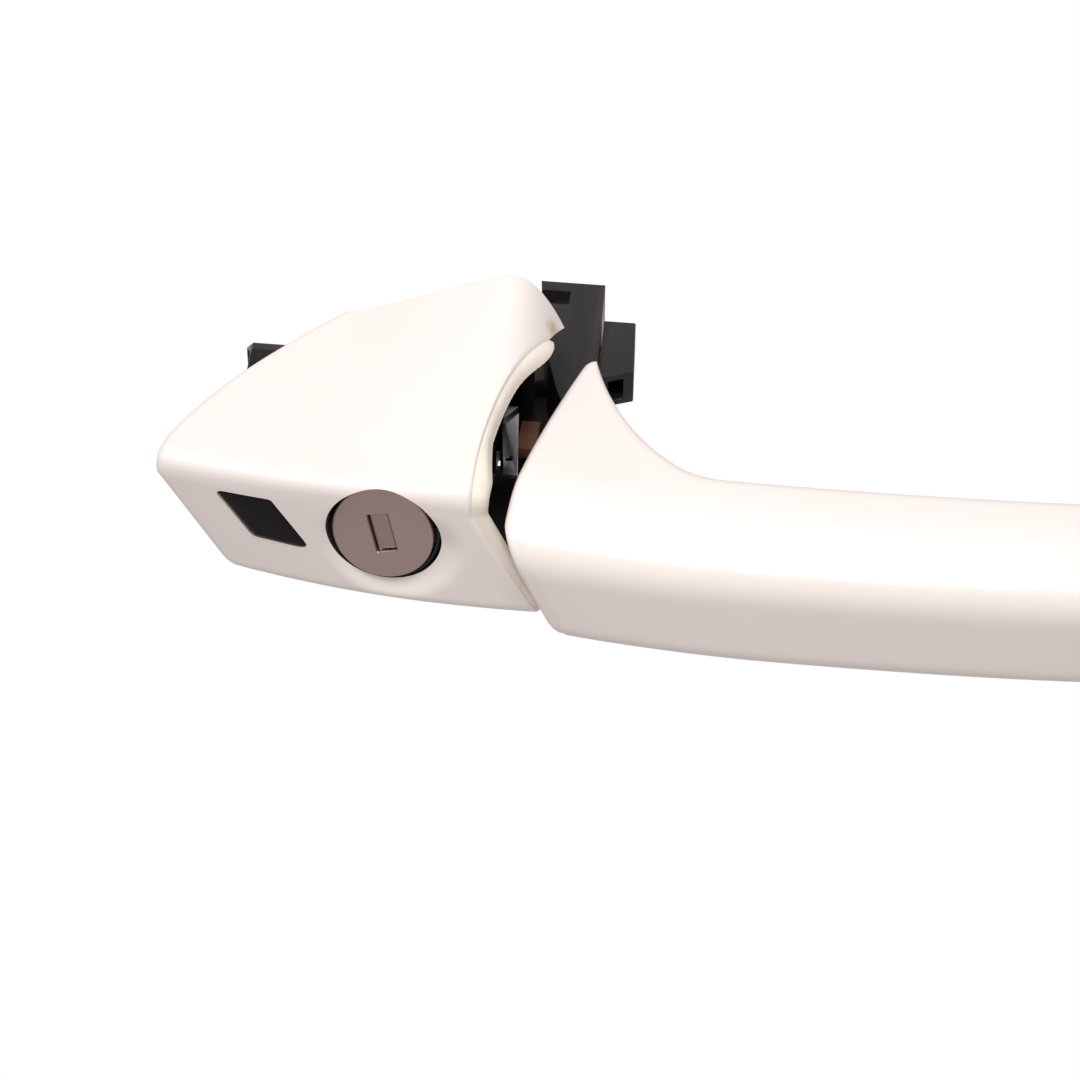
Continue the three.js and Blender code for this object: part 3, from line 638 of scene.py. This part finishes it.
def grip_ring(x, shift, depth, back_depth=None):
    """One section of the grip at a station along its front; near both ends it is sheared."""
    back_depth = depth if back_depth is None else back_depth
    left_pull = over(1 - over(x - GRIP_LEFT_X) / SHEAR_LENGTH) ** 1.2
    right_pull = over(1 - over(GRIP_TIP_X - x) / SHEAR_LENGTH) ** 1.2
    front = grip_front(x + 3)
    bend = max(foot_share(x - GRIP_LEFT_X, 0, 38), foot_share(GRIP_TIP_X - x, 9, 40))
    back = min(-6.8 + 0.02 * over(x - 100), mix(grip_back(x), -3.2, bend))
    low_back = -16 - over(bend - 0.2) * 4
    corners = [(back, GRIP_TOP_Z), (front + SHOULDER["y"], SHOULDER["z"]),
               (front, GRIP_CREASE_Z), (front, GRIP_LOW_Z), (back, low_back)]
    moved = inset(corners, [depth] * 4 + [back_depth])
    back_r = mix(5, 2, bend)
    radii = [max(0.5, r - depth / 2) for r in (back_r, 14, 9, 4, back_r)]
    return [Vector((x + shift + (grip_left(y, z) - GRIP_LEFT_X) * left_pull
                    + (grip_right(y) - GRIP_TIP_X) * right_pull, y, z))
            for y, z in rounded(moved, radii, 9, [18, 6, 12, 20, 16])]


def cover_prism(grow, rows):
    """A slab that follows the finger side of the bar; rows are pairs of inset and Y."""
    rings = []
    for margin, y in rows:
        g = grow - margin
        xs = linspace(COVER["x0"] - g, COVER["x1"] + g, 40)
        low, high = COVER["z0"] - g, COVER["z1"] + g
        outline = [(x, low) for x in xs] + [(x, high) for x in reversed(xs)]
        rings.append([Vector((x, grip_back(x) + y, z)) for x, z in outline])
    return skin(rings)


def make_grip():
    stations = linspace(10, 50, 44) + linspace(52, 156, 60) + linspace(158, 200, 44)
    left = [grip_ring(GRIP_LEFT_X, s, d) for s, d in round_over(2.0, 1.6, 7)]
    left = dome(left[0], grip_left, 0) + left
    right = [grip_ring(GRIP_TIP_X, -s, d) for s, d in reversed(round_over(2.0, 2.0, 7))]
    right += reversed(dome(right[-1], lambda y, z: grip_right(y), 0))
    grip = to_object("grip_skin", skin(
        left + [grip_ring(x, 0, 0) for x in stations] + right))
    grip.data.materials.append(None)
    wall = GRIP_WALL
    hollow = skin(
        [grip_ring(GRIP_LEFT_X, wall, wall + 0.8, wall),
         grip_ring(GRIP_LEFT_X, wall + 1.4, wall)]
        + [grip_ring(x, 0, wall) for x in stations if 12 < x < 197]
        + [grip_ring(GRIP_TIP_X, -wall - 1.4, wall),
           grip_ring(GRIP_TIP_X, -wall, wall + 0.8, wall)])
    rear_mouth = box(13, 27, -25, 2, -12.5, 8)
    front_mouth = box(175, 185.8, -16, 4, -9, 8)
    carve(grip, [hollow, cover_prism(0.25, [(0, -4), (0, 4)]), rear_mouth, front_mouth])
    place(finish_mesh(grip, 34), "grip_outer_shell", [MATERIALS["white_paint"]])
    cover = to_object("grip_cover", cover_prism(
        0, [(0, -2.3), (0, -0.5), (0.12, -0.18), (0.4, 0)]))
    place(finish_mesh(cover, 40), "grip_inner_cover", [MATERIALS["white_paint"]])


# ---- remaining CAD nodes: same shape, with their edges eased ----
EASE = {"pull_arm": 0.35, "arm_shoe": 0.3, "rear_bracket": 0.3, "front_bracket": 0.3,
        "release_lever": 0.35, "pivot_nose": 0.35, "lock_carrier": 0.2, "rear_seal": 0.15,
        "front_seal": 0.15, "guide_strip": 0.12, "return_spring": 0}
REPLACED = ("end_cap_shell", "infrared_window", "lock_face_disc", "grip_outer_shell",
            "grip_inner_cover")


def ease(node, width):
    """A copy of a CAD node with narrow bevels along its sharp edges."""
    bm = bmesh.new()
    bm.from_mesh(frame["nodes"][node].data)
    bmesh.ops.transform(bm, matrix=Matrix.Scale(1 / MM, 4), verts=bm.verts)
    bmesh.ops.remove_doubles(bm, verts=bm.verts, dist=0.0005)
    bmesh.ops.dissolve_limit(bm, angle_limit=math.radians(1.5), verts=bm.verts, edges=bm.edges)
    sharp = [e for e in bm.edges if e.is_manifold and e.calc_face_angle(0) > math.radians(40)]
    if width:
        bmesh.ops.bevel(bm, geom=sharp, offset=width, segments=2, profile=0.6,
                        affect="EDGES", clamp_overlap=True)
    obj = to_object(node + "_look", bm)
    return place(finish_mesh(obj, 28), node, [MATERIALS[SLOT_OF[node]]])


make_cap()
make_window()
make_disc()
make_grip()
for name in BODY_OF:
    if name not in REPLACED:
        ease(name, EASE.get(name, 0.15))


# ---- light and camera ----
CAMERA = {"azimuth": math.radians(7), "elevation": math.radians(40), "lens": 108,
          "right": 0.02926, "down": 0.0013, "back": 0.6}  # distances from the lock, in metres


def area_light(name, location, target, size, power, color=(1, 1, 1)):
    data = bpy.data.lights.new(name, "AREA")
    data.shape = "RECTANGLE"
    data.size, data.size_y = size
    data.energy = power
    data.color = color
    light = bpy.data.objects.new(name, data)
    light.location = location
    aim = Vector(target) - Vector(location)
    light.rotation_mode = "QUATERNION"
    light.rotation_quaternion = aim.to_track_quat("-Z", "Y")
    bpy.context.scene.collection.objects.link(light)


def make_light():
    """A dim warm studio with a white backdrop low behind the handle, and one soft light."""
    world = bpy.data.worlds.new("studio")
    world.use_nodes = True
    tree = world.node_tree
    sky = tree.nodes["Background"]
    where = tree.nodes.new("ShaderNodeTexCoord")
    apart = tree.nodes.new("ShaderNodeSeparateXYZ")
    link(tree, where, "Generated", apart, "Vector")
    both = tree.nodes.new("ShaderNodeMath")
    both.operation = "MULTIPLY"
    for i, (axis, start, end) in enumerate((("Y", 0.40, 0.62), ("Z", -0.25, -0.42))):
        share = tree.nodes.new("ShaderNodeMapRange")
        share.inputs["From Min"].default_value = start
        share.inputs["From Max"].default_value = end
        link(tree, apart, axis, share, "Value")
        link(tree, share, "Result", both, i)
    color = ramp(tree, both, "Value", [(0, (0.54, 0.50, 0.482)), (1, (1, 1, 1))])
    link(tree, color, "Color", sky, "Color")
    bpy.context.scene.world = world
    area_light("top_light", (-0.12, -0.33, 0.92), (0.02, -0.02, 0), (0.8, 0.6), 9)


def make_camera():
    """Looks down at the cap's end of the handle, with the lock left of the picture's middle."""
    a, e = CAMERA["azimuth"], CAMERA["elevation"]
    right = Vector((math.cos(a), math.sin(a), 0))
    up = Vector((-math.sin(a) * math.sin(e), math.cos(a) * math.sin(e), math.cos(e)))
    back = Vector((math.sin(a) * math.cos(e), -math.cos(a) * math.cos(e), math.sin(e)))
    data = bpy.data.cameras.new("camera")
    data.lens, data.sensor_width = CAMERA["lens"], 36
    data.clip_start, data.clip_end = 0.01, 20
    camera = bpy.data.objects.new("camera", data)
    at = LOCK * MM + right * CAMERA["right"] - up * CAMERA["down"] + back * CAMERA["back"]
    camera.matrix_world = Matrix((right, up, back)).transposed().to_4x4()
    camera.location = at
    bpy.context.scene.collection.objects.link(camera)
    bpy.context.scene.camera = camera


make_light()
make_camera()
bpy.context.scene.view_settings.view_transform = "Standard"
